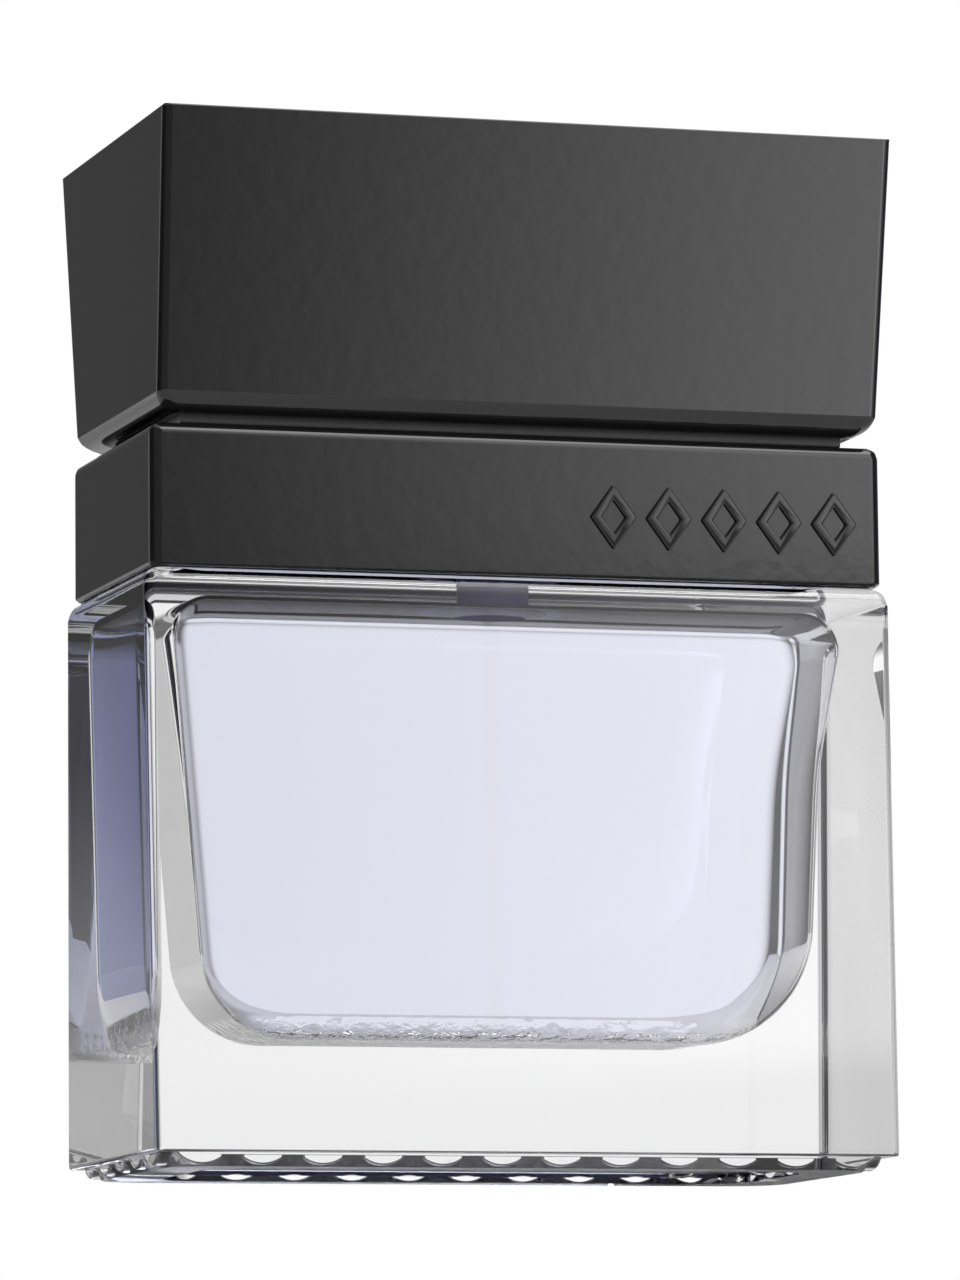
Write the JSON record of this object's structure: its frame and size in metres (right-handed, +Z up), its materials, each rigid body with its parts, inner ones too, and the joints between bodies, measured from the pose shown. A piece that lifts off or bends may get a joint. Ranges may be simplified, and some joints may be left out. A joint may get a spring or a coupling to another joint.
{
  "type": "aftershave bottle",
  "caption": "Rectangular clear glass aftershave bottle with lavender liquid, black collar, crimped spray pump with push button, and a flared black block cap that lifts off.",
  "frame": {"origin": "middle of the plane the bottle stands on", "axes": "+Z up along the neck and pump, +X along the width, the front face with the raised marks towards -Y"},
  "size_m": [0.0896, 0.0482, 0.1199],
  "materials": {
    "clear_glass": "polished clear soda-lime glass",
    "lavender_liquid": "clear, pale lavender liquid",
    "black_gloss": "high gloss black moulding",
    "black_relief": "gloss black raised relief",
    "black_pad": "matt black foam pad",
    "black_plastic": "satin black moulding",
    "grey_rubber": "matt grey elastomer",
    "natural_plastic": "translucent natural polypropylene",
    "white_plastic": "white acetal",
    "clear_tube": "clear tube close to the liquid's index",
    "steel": "bright stainless",
    "silver_aluminium": "bright anodised"
  },
  "bodies": {
    "bottle": {"glass_bottle": "clear_glass", "aftershave_liquid": "lavender_liquid", "shoulder_collar": "black_gloss", "shoulder_pad": "black_pad", "collar_ornament": "black_relief", "neck_gasket": "grey_rubber", "pump_housing": "natural_plastic", "dip_tube": "clear_tube", "return_spring": "steel", "stem_seal": "grey_rubber", "turret_bush": "white_plastic", "crimp_ferrule": "silver_aluminium", "ferrule_cover": "silver_aluminium"},
    "valve_ball": {"inlet_ball": "steel"},
    "stem": {"piston": "white_plastic", "pump_stem": "natural_plastic"},
    "button": {"actuator_button": "black_plastic", "nozzle_insert": "black_plastic", "actuator_overshell": "silver_aluminium"},
    "cap": {"cap_shell": "black_gloss", "cap_foot_plate": "black_plastic", "cap_grip_sleeve": "natural_plastic"}
  },
  "joints": [
    {"name": "cap_lift", "type": "slide", "parent": "bottle", "child": "cap", "axis": [0, 0, 1], "range_m": [0, 0.045]},
    {"name": "pump_stroke", "type": "slide", "parent": "bottle", "child": "stem", "axis": [0, 0, -1], "range_m": [0, 0.0034], "stiffness_N_per_m": 1500, "springref_m": -0.005, "deforming": ["return_spring"]},
    {"name": "button_swivel", "type": "hinge", "parent": "stem", "child": "button", "pos_m": [0, 0, 0.091], "axis": [0, 0, 1], "continuous": true},
    {"name": "valve_ball_lift", "type": "slide", "parent": "bottle", "child": "valve_ball", "axis": [0, 0, 1], "range_m": [0, 0.0006]}
  ]
}
